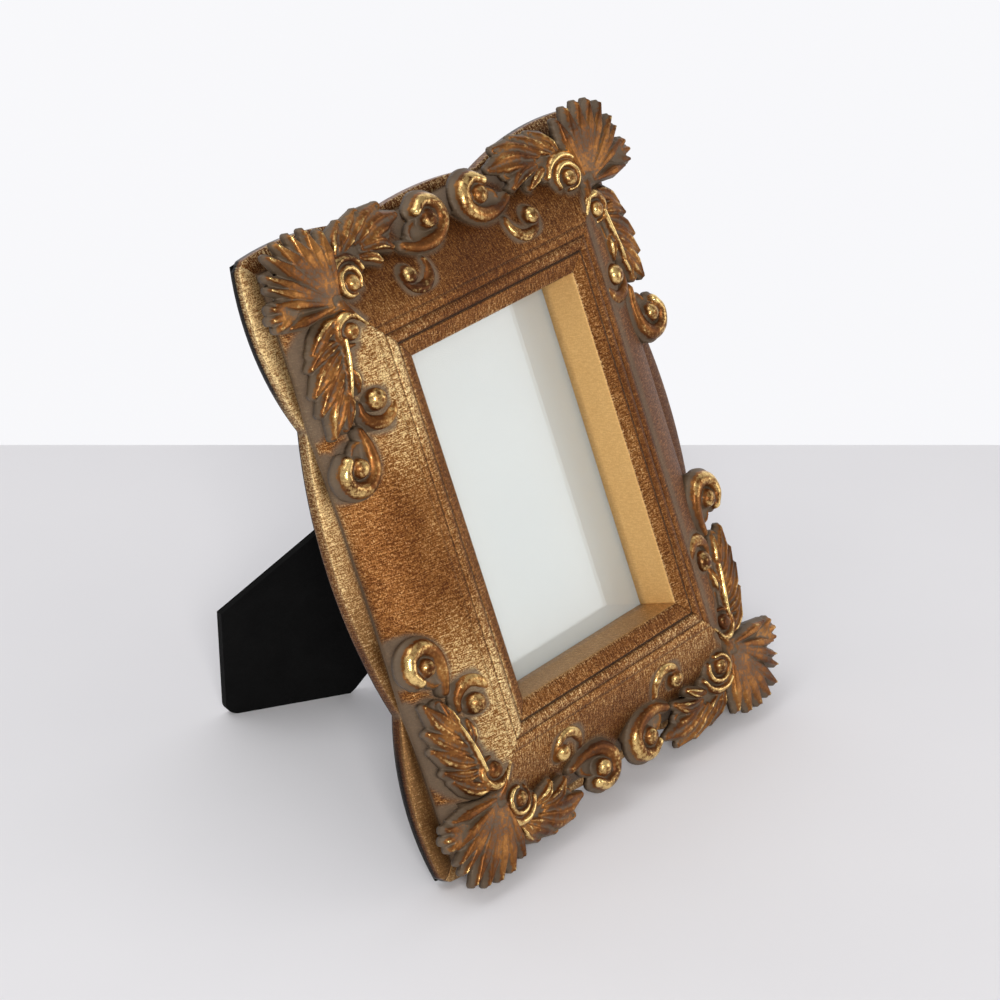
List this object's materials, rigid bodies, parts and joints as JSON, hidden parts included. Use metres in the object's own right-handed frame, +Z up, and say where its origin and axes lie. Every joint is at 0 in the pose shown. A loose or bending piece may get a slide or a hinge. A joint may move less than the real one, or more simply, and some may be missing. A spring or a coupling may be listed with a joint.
{
  "type": "ornate gilded photo frame",
  "caption": "Gilded table frame with mitred rails, scalloped rim, carved corner palmettes and acanthus sprays, glass, velvet back and a folding easel leg.",
  "frame": {"origin": "on the table, under the middle of the object's box, with the frame standing on its leg", "axes": "+Z up, -Y towards the viewer, +X to the viewer's right; the frame leans back towards +Y"},
  "size_m": [0.1886, 0.1616, 0.2331],
  "materials": {
    "gilt_moulding": "antique gilt, satin, rubbed and speckled",
    "gilt_ornament": "antique gilt with grey-brown patina in the recesses",
    "glass": "clear",
    "card": "smooth paper",
    "velvet": "black velvet",
    "felt": "black felt",
    "hinge_brass": "dull brass plate",
    "button_steel": "zinc plated"
  },
  "bodies": {
    "frame": {"rail_top": "gilt_moulding", "rail_bottom": "gilt_moulding", "rail_left": "gilt_moulding", "rail_right": "gilt_moulding", "corner_fan_top_left": "gilt_ornament", "corner_fan_top_right": "gilt_ornament", "corner_fan_bottom_left": "gilt_ornament", "corner_fan_bottom_right": "gilt_ornament", "sprays_left": "gilt_ornament", "sprays_right": "gilt_ornament", "sprays_top": "gilt_ornament", "sprays_bottom": "gilt_ornament", "glass_pane": "glass", "photo_card": "card", "backing_board": "velvet", "back_felt": "felt", "hinge_fixed_leaf": "hinge_brass", "hinge_pin": "hinge_brass", "button_screws": "button_steel"},
    "leg": {"easel_leg": "velvet", "hinge_leg_leaf": "hinge_brass"},
    "button_left": {"turn_button_left": "button_steel"},
    "button_right": {"turn_button_right": "button_steel"},
    "button_top": {"turn_button_top": "button_steel"},
    "button_bottom": {"turn_button_bottom": "button_steel"}
  },
  "joints": [
    {"name": "leg_hinge", "type": "hinge", "parent": "frame", "child": "leg", "pos_m": [0.029, -0.00155, 0.13075], "axis": [-0.7071, 0.2786, 0.6499], "range_deg": [0, 45]},
    {"name": "button_left_turn", "type": "hinge", "parent": "frame", "child": "button_left", "pos_m": [-0.058, 0.00208, 0.14442], "axis": [0, 0.9191, -0.3939], "continuous": true},
    {"name": "button_right_turn", "type": "hinge", "parent": "frame", "child": "button_right", "pos_m": [0.058, -0.02628, 0.07825], "axis": [0, 0.9191, -0.3939], "continuous": true},
    {"name": "button_top_turn", "type": "hinge", "parent": "frame", "child": "button_top", "pos_m": [0, 0.02076, 0.18799], "axis": [0, 0.9191, -0.3939], "continuous": true},
    {"name": "button_bottom_turn", "type": "hinge", "parent": "frame", "child": "button_bottom", "pos_m": [0.034, -0.04495, 0.03468], "axis": [0, 0.9191, -0.3939], "continuous": true}
  ]
}
